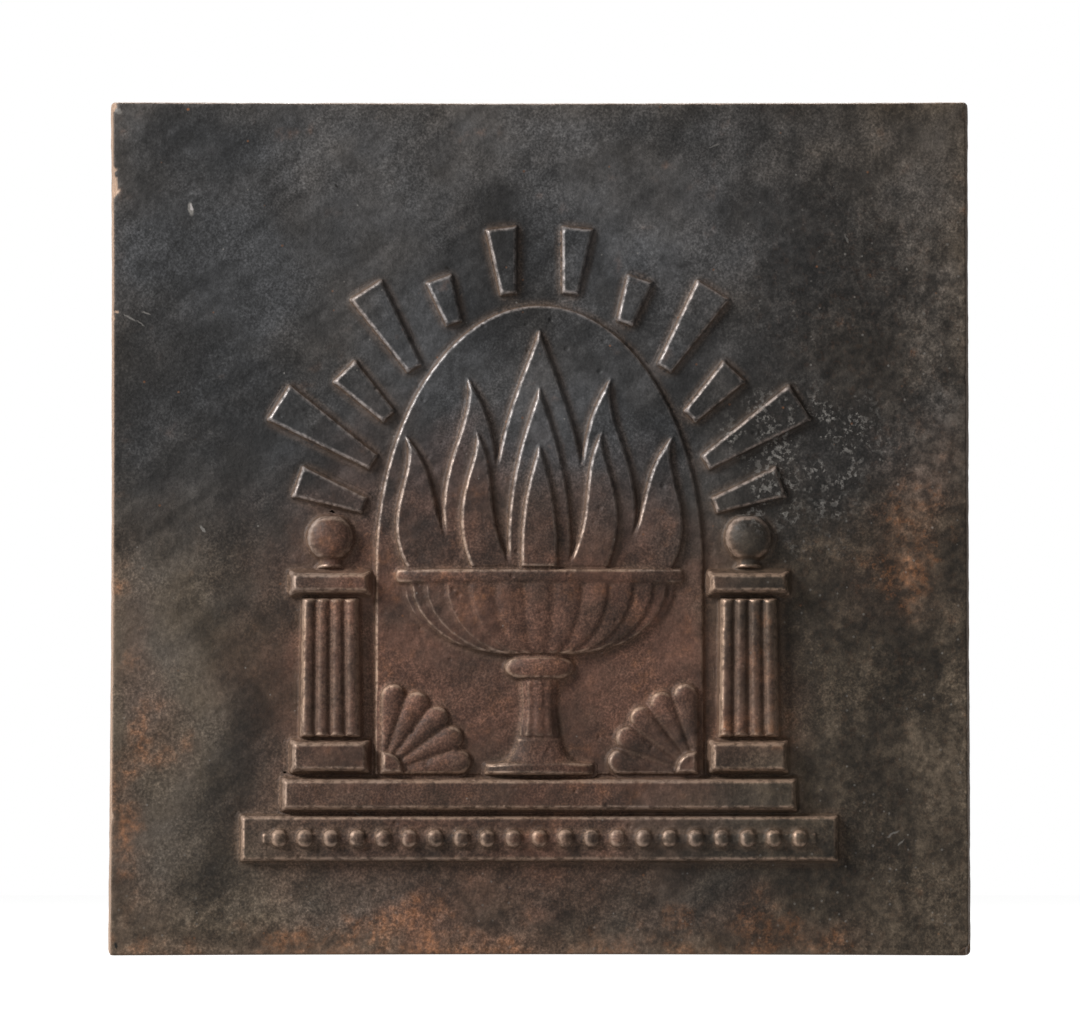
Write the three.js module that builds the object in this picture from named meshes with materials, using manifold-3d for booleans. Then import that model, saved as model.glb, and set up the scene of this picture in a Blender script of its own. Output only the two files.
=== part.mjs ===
// Cast-iron fireback: a square plate that stands upright at the back of a hearth, with a low relief of a
// flaming brazier in an arched niche, between two pylons on a stepped hearth, under a crown of sun rays.
//
// The plate and its relief are poured as one casting. They are modelled as the foundry's pattern is made: a
// board, and loose relief forms that seat flat on it or on each other. Every form has draft, so that it
// would draw from the sand, and a softened arris.
//
// Millimetres. X runs across the plate, Z up, and the relief faces -Y. The origin is on the ground, at
// mid-width and mid-depth.

import * as THREE from "three";
import { mergeVertices, toCreasedNormals } from "three/addons/utils/BufferGeometryUtils.js";
import Module from "manifold-3d";

const wasm = await Module();
wasm.setup();

// ------------------------------------------------------------------------------------------------ Sizes

// The plate
const PLATE_WIDTH = 600;
const PLATE_HEIGHT = 596;
const PLATE_THICKNESS = 20;
const PLATE_CORNER_RADIUS = 4;
const PLATE_ARRIS_RADIUS = 1.6;
const PLATE_DRAFT_DEGREES = 10;
const FOOT_GRINDING = 3.6; // ground off the bottom edge with all its draft, so that the plate stands square

// Casting practice, for every form of the relief
const DRAFT_DEGREES = 18;
const ARRIS_RADIUS = 1.2;
const SEAM = 0.3; // between neighbours that stand side by side

// The field of the relief on the plate
const FIELD_SIDE_MARGIN = 92; // from each side of the plate to the lower step
const FIELD_FOOT_MARGIN = 64; // from the foot of the plate to the lower step
const FIELD_TOP_MARGIN = 88; // from the ends of the longest rays to the top of the plate

// The stepped hearth
const LOWER_STEP_RISE = 34;
const LOWER_STEP_PROJECTION = 8;
const LOWER_STEP_TREAD = 28; // past the end of the upper step
const UPPER_STEP_RISE = 26;
const UPPER_STEP_PROJECTION = 12;
const UPPER_STEP_TREAD = 6; // past the base of the pylon
const STEP_CORNER_RADIUS = 3;

// The string of beads on the lower step
const BEAD_RADIUS = 7;
const BEAD_END_RADIUS = 2; // of the flat at either end of a bead
const BEAD_PROJECTION = 4.5; // out of the strip that joins them
const BEAD_SPACING = 18;
const BEAD_STRIP_RISE = 8;
const BEAD_STRIP_PROJECTION = 2;
const BEAD_STRIP_CORNER_RADIUS = 1.6;
const BEAD_STRIP_ARRIS_RADIUS = 0.6;
const BEAD_STRIP_MARGIN = 16; // from the end of the lower step

// The arched ground, on which the brazier, its flames and the fans are seated
const GROUND_PROJECTION = 4;
const GROUND_HEADROOM = 16; // over the highest tip of the flames

// The pedestal of the brazier
const PEDESTAL_FOOT_RADIUS = 38;
const PEDESTAL_FOOT_RISE = 26;
const PEDESTAL_FOOT_PROJECTION = 10;
const PEDESTAL_PLINTH_RISE = 8;
const PEDESTAL_PLINTH_TREAD = 4; // past the bell that stands on the plinth
const BELL_LIP = 1; // past the foot of the stem
const STEM_FOOT_RADIUS = 15;
const STEM_WAIST_RADIUS = 12.3;
const STEM_HEAD_RADIUS = 13.5;
const STEM_RISE = 40;
const STEM_PROJECTION = 7.5;
const STEM_FLUTES = 5;
const KNOP_RADIUS = 25;
const KNOP_END_RADIUS = 17.5;
const KNOP_RISE = 16;
const KNOP_PROJECTION = 10;

// The bowl and its rolled rim
const BOWL_NECK_RADIUS = 20;
const BOWL_RISE = 50;
const BOWL_PROJECTION = 13;
const BOWL_LOBES = 13;
const LOBE_DEPTH = 0.11; // how far the valley between two lobes falls back, as a share of the form there
const RIM_OVERHANG = 6;
const RIM_RISE = 10;
const RIM_PROJECTION = 14;

// The flames: three layers, each seated on the flat face of the one before it
const FLAME_LAYER_PROJECTIONS = [5, 4.5, 4.5];
const FLAME_ROOT = 12; // how far the tongues begin below the rim, where they are cut off
const TONGUE_SWELL = 1.9;
const TONGUE_POINT = 1.15;

// The crown of sun rays
const RAYS_EACH_SIDE = 6;
const RAY_PROJECTION = 5;
const RAY_INNER_WIDTH = 13;
const RAY_OUTER_WIDTH = 32; // at the end of the longest ray
const SHORT_RAY_SHARE = 0.62; // every other ray is this share of its full length
const RAY_CLEARANCE = 9; // from the arched ground
const RAY_HEADROOM = 20; // from the top of a finial to the middle of the lowest ray
const CROWN_DEPTH = 72; // from the highest tip of the flames to the ends of the rays

// The pylons
const PYLON_CLEARANCE = 14; // between the rim and the cap
const PYLON_SHAFT_WIDTH = 46;
const PYLON_SHAFT_TAPER = 3; // narrower at the top by this much
const PYLON_WEB_PROJECTION = 6;
const PYLON_REEDS = 4;
const PYLON_BASE_WIDTH = 58;
const PYLON_BASE_RISE = 26;
const PYLON_BASE_PROJECTION = 14;
const PYLON_CAP_WIDTH = 60;
const PYLON_CAP_RISE = 20;
const PYLON_CAP_PROJECTION = 15;
const FINIAL_FOOT_RADIUS = 11;
const FINIAL_NECK_RADIUS = 7.5;
const FINIAL_NECK_RISE = 6;
const FINIAL_RADIUS = 17;
const FINIAL_PROJECTION = 13;

// The fans in the corners of the arched ground
const FAN_MARGIN = 4; // from the side of the ground
const FAN_CLEARANCE = 8; // from the foot of the pedestal
const FAN_LOBES = 5;
const FAN_LOBE_OVERLAP = 1.1; // how much wider a lobe is than its share of the quarter
const FAN_PROJECTION = 6;
const FAN_HUB_RADIUS = 16;
const FAN_HUB_PROJECTION = 8;

// How fast a turned form falls back to the plate where it gets narrower: see turnedRelief
const SLOW_FALL = 0.5;
const EVEN_FALL = 0.8;
const RIM_FALL = 6;

// Facets
const CORNER_FACETS = 4;
const ARRIS_FACETS = 2;
const PROFILE_FACETS = 8;
const TONGUE_FACETS = 14;
const ARCH_FACETS = 48;
const HALF_TURN_FACETS = 16;
const SMALL_HALF_TURN_FACETS = 10;
const BEAD_FACETS = 6;
const LOBE_FACETS = 6;
const REED_FACETS = 8;

// ------------------------------------------------------------------------------------- Worked-out sizes

const draft = Math.tan(THREE.MathUtils.degToRad(DRAFT_DEGREES));
const plateDraft = Math.tan(THREE.MathUtils.degToRad(PLATE_DRAFT_DEGREES));

// Across the plate
const lowerStepWidth = PLATE_WIDTH - 2 * FIELD_SIDE_MARGIN;
const upperStepWidth = lowerStepWidth - 2 * LOWER_STEP_TREAD;
const pylonCentre = upperStepWidth / 2 - UPPER_STEP_TREAD - PYLON_BASE_WIDTH / 2;
const groundHalfWidth = pylonCentre - Math.max(PYLON_BASE_WIDTH, PYLON_CAP_WIDTH) / 2 - SEAM;
const rimRadius = pylonCentre - PYLON_CAP_WIDTH / 2 - PYLON_CLEARANCE;
const bowlRadius = rimRadius - RIM_OVERHANG;
const fanCorner = groundHalfWidth - FAN_MARGIN;
const fanRadius = fanCorner - PEDESTAL_FOOT_RADIUS - FAN_CLEARANCE;

// Up the plate: each form stands a seam above the one below it
const upperStepFoot = FIELD_FOOT_MARGIN + LOWER_STEP_RISE + SEAM;
const hearthTop = upperStepFoot + UPPER_STEP_RISE + SEAM;
const stemFoot = hearthTop + PEDESTAL_FOOT_RISE + SEAM;
const knopFoot = stemFoot + STEM_RISE + SEAM;
const bowlFoot = knopFoot + KNOP_RISE + SEAM;
const rimFoot = bowlFoot + BOWL_RISE + SEAM;
const flameFoot = rimFoot + RIM_RISE + SEAM;
const crownHeight = PLATE_HEIGHT - FIELD_TOP_MARGIN - flameFoot;
const flameHeight = crownHeight - CROWN_DEPTH;
const archRise = flameHeight + GROUND_HEADROOM;
const pylonShaftFoot = hearthTop + PYLON_BASE_RISE + SEAM;
const pylonCapFoot = rimFoot + RIM_RISE - PYLON_CAP_RISE;
const pylonShaftRise = pylonCapFoot - SEAM - pylonShaftFoot;
const finialBallRise = FINIAL_RADIUS + Math.sqrt(FINIAL_RADIUS ** 2 - FINIAL_NECK_RADIUS ** 2);
const finialRise = FINIAL_NECK_RISE + finialBallRise;

// --------------------------------------------------------------------------------------- Solid geometry
//
// Every form is drawn on a board that lies flat: x across, y up the plate, z out of it.

// A closed body through rings of points, all with the same count. flatten gives a point's place in the
// plane of its ring.
function loft(rings, flatten) {
  const clockwise = THREE.ShapeUtils.isClockWise(rings[0].map(flatten));
  const ordered = clockwise ? rings.map((ring) => [...ring].reverse()) : rings;
  const count = ordered[0].length;
  const indices = [];
  for (let row = 0; row + 1 < ordered.length; row++) {
    for (let i = 0; i < count; i++) {
      const next = (i + 1) % count;
      const [a, b] = [row * count + i, row * count + next];
      indices.push(a, b, b + count, a, b + count, a + count);
    }
  }
  const last = (ordered.length - 1) * count;
  for (const [a, b, c] of THREE.ShapeUtils.triangulateShape(ordered[0].map(flatten), [])) {
    indices.push(a, c, b);
  }
  for (const [a, b, c] of THREE.ShapeUtils.triangulateShape(ordered.at(-1).map(flatten), [])) {
    indices.push(last + a, last + b, last + c);
  }
  return new THREE.BufferGeometry().setFromPoints(ordered.flat()).setIndex(indices);
}

const seenFromTheFront = (point) => new THREE.Vector2(point.x, point.y);
const seenAlongTheHeight = (point) => new THREE.Vector2(point.z, point.x);

function toSolid(geometry) {
  const merged = mergeVertices(geometry, 1e-4);
  return new wasm.Manifold(
    new wasm.Mesh({
      numProp: 3,
      vertProperties: merged.attributes.position.array,
      triVerts: new Uint32Array(merged.index.array),
    }),
  );
}

function toGeometry(solid) {
  const { vertProperties, triVerts } = solid.getMesh();
  const geometry = new THREE.BufferGeometry();
  geometry.setAttribute("position", new THREE.BufferAttribute(vertProperties, 3));
  return geometry.setIndex(new THREE.BufferAttribute(triVerts, 1));
}

const joined = (geometries) => toGeometry(geometries.map(toSolid).reduce((sum, solid) => sum.add(solid)));

// What is left of a form above the line y = level of the board.
const cutOffBelow = (geometry, level) => toGeometry(toSolid(geometry).trimByPlane([0, 1, 0], level));

// ------------------------------------------------------------------------------------ Casting operations

// A block with a flat face, drafted sides and a rounded arris. outlineAt(inset) gives its outline, drawn in
// from the foot by inset, always with the same count of points.
function castBlock(outlineAt, projection, slope = draft, arris = ARRIS_RADIUS) {
  const shoulder = projection - arris;
  const levels = [[0, 0]];
  for (let i = 0; i <= ARRIS_FACETS; i++) {
    const turn = ((Math.PI / 2) * i) / ARRIS_FACETS;
    levels.push([shoulder * slope + arris * (1 - Math.cos(turn)), shoulder + arris * Math.sin(turn)]);
  }
  const rings = levels.map(([inset, level]) =>
    outlineAt(inset).map((point) => new THREE.Vector3(point.x, point.y, level)),
  );
  return loft(rings, seenFromTheFront);
}

// A rectangle that stands on y = 0, with its corners rounded.
function rectangle(width, height, radius) {
  return (inset) => {
    const corner = Math.max(radius - inset, radius / 8);
    const reach = [width / 2 - inset - corner, inset + corner, height - inset - corner];
    const centres = [
      [reach[0], reach[2]],
      [-reach[0], reach[2]],
      [-reach[0], reach[1]],
      [reach[0], reach[1]],
    ];
    return centres.flatMap(([x, y], quarter) =>
      Array.from({ length: CORNER_FACETS + 1 }, (_, i) => {
        const turn = (Math.PI / 2) * (quarter + i / CORNER_FACETS);
        return new THREE.Vector2(x + corner * Math.cos(turn), y + corner * Math.sin(turn));
      }),
    );
  };
}

// A straight-sided outline, drawn in along the bisectors of its corners. Its points run anticlockwise.
function mitred(points) {
  const inward = points.map((point, i) => {
    const side = point.clone().sub(points.at(i - 1)).normalize();
    return new THREE.Vector2(-side.y, side.x);
  });
  return (inset) =>
    points.map((point, i) => {
      const [before, after] = [inward[i], inward[(i + 1) % points.length]];
      const bisector = before.clone().add(after).normalize();
      return point.clone().addScaledVector(bisector, inset / bisector.dot(before));
    });
}

// A turned form in low relief: its profile gives [radius, height] upwards, and each section across it is
// half an oval that stands out by the form's projection where the radius is greatest, and elsewhere by
// that projection times (radius / greatest radius) ** fall. With lobes, the surface is gadrooned.
function turnedRelief(profile, projection, { fall = 1, lobes = 0, facets = HALF_TURN_FACETS } = {}) {
  const greatest = Math.max(...profile.map(([radius]) => radius));
  const rings = profile.map(([radius, height]) => {
    const stand = projection * (radius / greatest) ** fall;
    return Array.from({ length: facets + 1 }, (_, i) => {
      const turn = (Math.PI * i) / facets;
      const swell = lobes ? 1 - LOBE_DEPTH * (1 - Math.abs(Math.sin(lobes * turn))) : 1;
      const out = i % facets ? stand * swell * Math.sin(turn) : 0;
      return new THREE.Vector3(radius * swell * Math.cos(turn), height, out);
    });
  });
  return loft(rings, seenAlongTheHeight);
}

// A profile along a quarter of an oval, from one [radius, height] to another, where it runs straight up.
function ovalProfile([r0, h0], [r1, h1]) {
  return Array.from({ length: PROFILE_FACETS + 1 }, (_, i) => {
    const turn = ((Math.PI / 2) * i) / PROFILE_FACETS;
    return [r0 + (r1 - r0) * Math.sin(turn), h0 + (h1 - h0) * (1 - Math.cos(turn))];
  });
}

// The profile of a ball of that radius, up from its foot, which a flat of radius flat cuts off.
function ballProfile(radius, flat, foot, steps) {
  const start = Math.asin(flat / radius);
  return Array.from({ length: steps + 1 }, (_, i) => {
    const turn = start + ((Math.PI - 2 * start) * i) / steps;
    return [radius * Math.sin(turn), foot + radius * (Math.cos(start) - Math.cos(turn))];
  });
}

// ------------------------------------------------------------------------------------- Plate and hearth

function plate() {
  const stock = rectangle(PLATE_WIDTH, PLATE_HEIGHT + FOOT_GRINDING, PLATE_CORNER_RADIUS);
  const cast = castBlock(stock, PLATE_THICKNESS, plateDraft, PLATE_ARRIS_RADIUS);
  return cutOffBelow(cast.translate(0, -FOOT_GRINDING, 0), 0);
}

const lowerStep = () =>
  castBlock(rectangle(lowerStepWidth, LOWER_STEP_RISE, STEP_CORNER_RADIUS), LOWER_STEP_PROJECTION);

const upperStep = () =>
  castBlock(rectangle(upperStepWidth, UPPER_STEP_RISE, STEP_CORNER_RADIUS), UPPER_STEP_PROJECTION);

// A flat strip with a string of half-round beads along its middle.
function beadString() {
  const length = lowerStepWidth - 2 * BEAD_STRIP_MARGIN;
  const outline = rectangle(length, BEAD_STRIP_RISE, BEAD_STRIP_CORNER_RADIUS);
  const strip = castBlock(outline, BEAD_STRIP_PROJECTION, draft, BEAD_STRIP_ARRIS_RADIUS);
  const profile = ballProfile(BEAD_RADIUS, BEAD_END_RADIUS, 0, BEAD_FACETS);
  const beadRise = profile.at(-1)[1];
  const last = Math.floor((length - 2 * BEAD_RADIUS) / BEAD_SPACING);
  const beads = Array.from({ length: last + 1 }, (_, i) => {
    const bead = turnedRelief(profile, BEAD_STRIP_PROJECTION + BEAD_PROJECTION, { facets: BEAD_FACETS });
    return bead.translate((i - last / 2) * BEAD_SPACING, (BEAD_STRIP_RISE - beadRise) / 2, 0);
  });
  return joined([strip, ...beads]);
}

// A panel with an arched top. Its foot stands square on the hearth, without draft.
function ground() {
  const springing = flameFoot - hearthTop;
  const outline = (inset) => {
    const arch = Array.from({ length: ARCH_FACETS + 1 }, (_, i) => {
      const turn = (Math.PI * i) / ARCH_FACETS;
      const across = (groundHalfWidth - inset) * Math.cos(turn);
      return new THREE.Vector2(across, springing + (archRise - inset) * Math.sin(turn));
    });
    const foot = [inset - groundHalfWidth, groundHalfWidth - inset].map((x) => new THREE.Vector2(x, 0));
    return [...foot, ...arch];
  };
  return castBlock(outline, GROUND_PROJECTION);
}

// --------------------------------------------------------------------------------------------- Brazier

function pedestalFoot() {
  const plinth = [[PEDESTAL_FOOT_RADIUS, 0], [PEDESTAL_FOOT_RADIUS, PEDESTAL_PLINTH_RISE]];
  const bell = ovalProfile(
    [PEDESTAL_FOOT_RADIUS - PEDESTAL_PLINTH_TREAD, PEDESTAL_PLINTH_RISE],
    [STEM_FOOT_RADIUS + BELL_LIP, PEDESTAL_FOOT_RISE],
  );
  return turnedRelief([...plinth, ...bell], PEDESTAL_FOOT_PROJECTION, { fall: SLOW_FALL });
}

function stem() {
  const profile = [[STEM_FOOT_RADIUS, 0], [STEM_WAIST_RADIUS, STEM_RISE / 2], [STEM_HEAD_RADIUS, STEM_RISE]];
  return turnedRelief(profile, STEM_PROJECTION, { lobes: STEM_FLUTES, facets: STEM_FLUTES * LOBE_FACETS });
}

// A flattened ball.
function knop() {
  const ball = ballProfile(KNOP_RADIUS, KNOP_END_RADIUS, 0, PROFILE_FACETS);
  const ballRise = ball.at(-1)[1];
  const profile = ball.map(([radius, height]) => [radius, (height / ballRise) * KNOP_RISE]);
  return turnedRelief(profile, KNOP_PROJECTION, { fall: EVEN_FALL });
}

function bowl() {
  const profile = ovalProfile([BOWL_NECK_RADIUS, 0], [bowlRadius, BOWL_RISE]);
  const lobed = { lobes: BOWL_LOBES, facets: BOWL_LOBES * LOBE_FACETS };
  return turnedRelief(profile, BOWL_PROJECTION, { fall: SLOW_FALL, ...lobed });
}

// A ring with a half-round lip.
function rim() {
  const lip = RIM_OVERHANG / 2;
  const profile = Array.from({ length: PROFILE_FACETS + 1 }, (_, i) => {
    const turn = (Math.PI * i) / PROFILE_FACETS;
    return [rimRadius - lip + lip * Math.sin(turn), (RIM_RISE / 2) * (1 - Math.cos(turn))];
  });
  return turnedRelief(profile, RIM_PROJECTION, { fall: RIM_FALL });
}

// One tongue of flame: a curved line from root to tip, with a width that swells and then runs to a point.
// The bends and the tip are [across, up], in shares of the rim's radius and of the height of the flames,
// and so are the place and the width of the root, both across.
function tongue([root, rootShare], ...bendsAndTip) {
  const rootWidth = rootShare * rimRadius;
  const line = new THREE.CubicBezierCurve(
    new THREE.Vector2(root * rimRadius, -FLAME_ROOT),
    ...bendsAndTip.map(([across, up]) => new THREE.Vector2(across * rimRadius, up * flameHeight)),
  );
  const halfWidth = (t) => (rootWidth / 2) * (1 - t) ** TONGUE_POINT * (1 + TONGUE_SWELL * t);
  return (inset) => {
    const from = inset / line.getLength();
    let [low, high] = [0.3, 1];
    for (let i = 0; i < 40; i++) {
      const middle = (low + high) / 2;
      [low, high] = halfWidth(middle) > inset ? [middle, high] : [low, middle];
    }
    const side = (sign) =>
      Array.from({ length: TONGUE_FACETS }, (_, i) => {
        const t = from + ((low - from) * i) / TONGUE_FACETS;
        const along = line.getTangent(t);
        const reach = sign * (halfWidth(t) - inset);
        return line.getPoint(t).add(new THREE.Vector2(along.y * reach, -along.x * reach));
      });
    return [...side(1), line.getPoint(low), ...side(-1).reverse()];
  };
}

// A layer of flame: a middle tongue, and pairs of tongues that mirror each other, all with one flat face.
function flame(projection, middle, pairs) {
  const mirrored = ([root, ...bendsAndTip]) =>
    [1, -1].map((side) => [[side * root[0], root[1]], ...bendsAndTip.map(([x, y]) => [side * x, y])]);
  const tongues = [middle, ...pairs.flatMap(mirrored)];
  return cutOffBelow(joined(tongues.map((one) => castBlock(tongue(...one), projection))), 0);
}

const flameLayers = [
  {
    middle: [[0, 0.64], [0, 0.33], [0, 0.66], [0, 1]],
    pairs: [
      [[0.27, 0.42], [0.66, 0.26], [0.3, 0.52], [0.5, 0.8]],
      [[0.54, 0.34], [1.05, 0.12], [0.7, 0.34], [0.93, 0.56]],
    ],
  },
  {
    middle: [[0, 0.42], [0, 0.25], [0, 0.5], [0, 0.76]],
    pairs: [[[0.25, 0.25], [0.58, 0.2], [0.32, 0.4], [0.44, 0.58]]],
  },
  {
    middle: [[0, 0.25], [0, 0.18], [0, 0.36], [0, 0.52]],
    pairs: [],
  },
];

// ------------------------------------------------------------------------------------------------- Rays

// Where an oval that reaches that far across and up, centred on the rim, is met at an angle from upright.
function onOval(across, up, angle) {
  const reach = 1 / Math.hypot(Math.sin(angle) / across, Math.cos(angle) / up);
  return new THREE.Vector2(Math.sin(angle), Math.cos(angle)).multiplyScalar(reach);
}

// Ray number i from the top, on the side where x has that sign. The lowest passes over the finials.
function ray(i, side) {
  const lowest = Math.atan2(pylonCentre + FINIAL_RADIUS, finialRise + RAY_HEADROOM);
  const angle = (side * lowest * (i + 0.5)) / (RAYS_EACH_SIDE - 0.5);
  const inner = onOval(groundHalfWidth + RAY_CLEARANCE, archRise + RAY_CLEARANCE, angle);
  const full = onOval(lowerStepWidth / 2, crownHeight, angle);
  const outer = i % 2 ? inner.clone().lerp(full, SHORT_RAY_SHARE) : full;
  const longest = lowerStepWidth / 2 - groundHalfWidth - RAY_CLEARANCE;
  const flare = ((RAY_OUTER_WIDTH - RAY_INNER_WIDTH) * outer.distanceTo(inner)) / longest;
  const across = new THREE.Vector2(Math.cos(angle), -Math.sin(angle));
  const corner = (end, width) => end.clone().addScaledVector(across, width / 2);
  const corners = [
    corner(inner, RAY_INNER_WIDTH),
    corner(outer, RAY_INNER_WIDTH + flare),
    corner(outer, -RAY_INNER_WIDTH - flare),
    corner(inner, -RAY_INNER_WIDTH),
  ];
  return castBlock(mitred(corners), RAY_PROJECTION);
}

// ----------------------------------------------------------------------------------------------- Pylons

const pylonBase = () =>
  castBlock(rectangle(PYLON_BASE_WIDTH, PYLON_BASE_RISE, STEP_CORNER_RADIUS), PYLON_BASE_PROJECTION);

const pylonCap = () =>
  castBlock(rectangle(PYLON_CAP_WIDTH, PYLON_CAP_RISE, STEP_CORNER_RADIUS), PYLON_CAP_PROJECTION);

// A web with half-round reeds along it, narrower at the top.
function pylonShaft() {
  const section = (width, height) => {
    const shape = new THREE.Shape();
    const shoulder = PYLON_WEB_PROJECTION * draft;
    const reedRadius = (width / 2 - shoulder) / PYLON_REEDS;
    shape.moveTo(-width / 2, 0);
    for (let i = 0; i < PYLON_REEDS; i++) {
      const centre = (2 * i + 1 - PYLON_REEDS) * reedRadius;
      shape.absarc(centre, PYLON_WEB_PROJECTION, reedRadius, Math.PI, 0, true);
    }
    shape.lineTo(width / 2, 0);
    const { shape: points } = shape.extractPoints(REED_FACETS);
    return points.map((point) => new THREE.Vector3(point.x, height, point.y));
  };
  const sections = [
    section(PYLON_SHAFT_WIDTH, 0),
    section(PYLON_SHAFT_WIDTH - PYLON_SHAFT_TAPER, pylonShaftRise),
  ];
  return loft(sections, seenAlongTheHeight);
}

// A ball on a drawn-in neck.
function finial() {
  const neck = [[FINIAL_FOOT_RADIUS, 0], [FINIAL_NECK_RADIUS, FINIAL_NECK_RISE / 2]];
  const ball = ballProfile(FINIAL_RADIUS, FINIAL_NECK_RADIUS, FINIAL_NECK_RISE, PROFILE_FACETS);
  return turnedRelief([...neck, ...ball], FINIAL_PROJECTION, { fall: EVEN_FALL });
}

// ------------------------------------------------------------------------------------------------- Fans

// One lobe of a fan, from a point at its hub to its round tip. half is half its angle.
function fanLobe(half) {
  const shoulder = fanRadius / (1 + Math.sin(half));
  const tipRadius = fanRadius - shoulder;
  const start = FAN_HUB_RADIUS / 2;
  const tip = Array.from({ length: PROFILE_FACETS }, (_, i) => {
    const turn = THREE.MathUtils.lerp(-half, Math.PI / 2, i / PROFILE_FACETS);
    return [tipRadius * Math.cos(turn), shoulder + tipRadius * Math.sin(turn)];
  });
  const profile = [[start * Math.tan(half), start], ...tip];
  return turnedRelief(profile, FAN_PROJECTION, { fall: SLOW_FALL, facets: SMALL_HALF_TURN_FACETS });
}

// A quarter of a disc, with its corner at the origin.
function quarterDisc(side, radius) {
  return (inset) => {
    const arc = Array.from({ length: PROFILE_FACETS + 1 }, (_, i) => {
      const turn = ((Math.PI / 2) * i) / PROFILE_FACETS;
      const reach = radius - inset;
      return new THREE.Vector2(side * (inset + reach * Math.cos(turn)), inset + reach * Math.sin(turn));
    });
    return [new THREE.Vector2(side * inset, inset), ...arc];
  };
}

// A quarter of a fluted fan in a corner, opening towards the side of x that side says. Its lobes overlap a
// little, and the outer two run along the two sides of the quarter.
function fan(side) {
  const half = (Math.PI / 4 / FAN_LOBES) * FAN_LOBE_OVERLAP;
  const pitch = (Math.PI / 2 - 2 * half) / (FAN_LOBES - 1);
  const turns = Array.from({ length: FAN_LOBES }, (_, i) => -side * (half + pitch * i));
  const lobes = turns.map((turn) => fanLobe(half).rotateZ(turn));
  return joined([castBlock(quarterDisc(side, FAN_HUB_RADIUS), FAN_HUB_PROJECTION), ...lobes]);
}

// --------------------------------------------------------------------------------------------- Assembly

const iron = (name, color) => {
  const material = new THREE.MeshStandardMaterial({ color, roughness: 0.72, metalness: 0.35 });
  material.name = name;
  return material;
};
const materials = {
  plate: iron("sooted_iron", 0x47443f),
  relief: iron("rusted_iron", 0x54453c),
};

const board = new THREE.Group();

// Stands the board's x, y, z up as x, z, -y. The numbers are whole, so flat faces stay exactly flat.
const standUp = new THREE.Matrix4().set(1, 0, 0, 0, 0, 0, -1, 0, 0, 1, 0, 0, 0, 0, 0, 1);

// Seats a form with its own origin at x, y of the board and its foot at that level out of the plate's face.
// The level is rounded to 32 bits, as vertices are, so that faces that touch lie in one plane.
function seat(name, geometry, { x = 0, y = 0, level = 0, material = materials.relief } = {}) {
  const shaded = toCreasedNormals(geometry.applyMatrix4(standUp), Math.PI / 6);
  const mesh = new THREE.Mesh(shaded, material);
  mesh.name = name;
  mesh.position.set(x, -Math.fround(level), y);
  board.add(mesh);
}

seat("back_plate", plate(), { level: -PLATE_THICKNESS, material: materials.plate });

seat("hearth_lower_step", lowerStep(), { y: FIELD_FOOT_MARGIN });
seat("hearth_upper_step", upperStep(), { y: upperStepFoot });
seat("bead_string", beadString(), {
  y: FIELD_FOOT_MARGIN + (LOWER_STEP_RISE - BEAD_STRIP_RISE) / 2,
  level: LOWER_STEP_PROJECTION,
});

seat("arched_ground", ground(), { y: hearthTop });
seat("pedestal_foot", pedestalFoot(), { y: hearthTop, level: GROUND_PROJECTION });
seat("pedestal_stem", stem(), { y: stemFoot, level: GROUND_PROJECTION });
seat("pedestal_knop", knop(), { y: knopFoot, level: GROUND_PROJECTION });
seat("brazier_bowl", bowl(), { y: bowlFoot, level: GROUND_PROJECTION });
seat("brazier_rim", rim(), { y: rimFoot, level: GROUND_PROJECTION });

const layerNames = ["flame_outer", "flame_middle", "flame_inner"];
let flameLevel = GROUND_PROJECTION;
flameLayers.forEach(({ middle, pairs }, i) => {
  const projection = FLAME_LAYER_PROJECTIONS[i];
  seat(layerNames[i], flame(projection, middle, pairs), { y: flameFoot, level: flameLevel });
  flameLevel += projection;
});

for (const [sideName, side] of [["left", -1], ["right", 1]]) {
  const x = side * pylonCentre;
  seat(`${sideName}_pylon_base`, pylonBase(), { x, y: hearthTop });
  seat(`${sideName}_pylon_shaft`, pylonShaft(), { x, y: pylonShaftFoot });
  seat(`${sideName}_pylon_cap`, pylonCap(), { x, y: pylonCapFoot });
  seat(`${sideName}_pylon_finial`, finial(), { x, y: flameFoot });
  seat(`${sideName}_fan`, fan(-side), { x: side * fanCorner, y: hearthTop, level: GROUND_PROJECTION });
  for (let i = 0; i < RAYS_EACH_SIDE; i++) {
    seat(`${sideName}_ray_${i + 1}`, ray(i, side), { y: flameFoot });
  }
}

// The back of the plate and the highest form lie equally far from the origin.
const depth = new THREE.Box3().setFromObject(board);
board.position.y = -(depth.min.y + depth.max.y) / 2;

const fireback = new THREE.Group();
fireback.name = "fireback";
fireback.add(board);

export default fireback;
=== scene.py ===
"""A cast-iron fireback in its sand-cast skin, on a pale floor in soft studio light.

Every relief form gets a skin of its own. The CAD relief is sampled from the front as a field of heights,
softened as sand softens a pattern's arrises and corners, and roughened. Each form's skin is its part of that
one field, so neighbours meet without a step, as they do in one casting. Lengths are in metres.
"""

import math

import bpy
import numpy as np
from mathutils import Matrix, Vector, geometry


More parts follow.
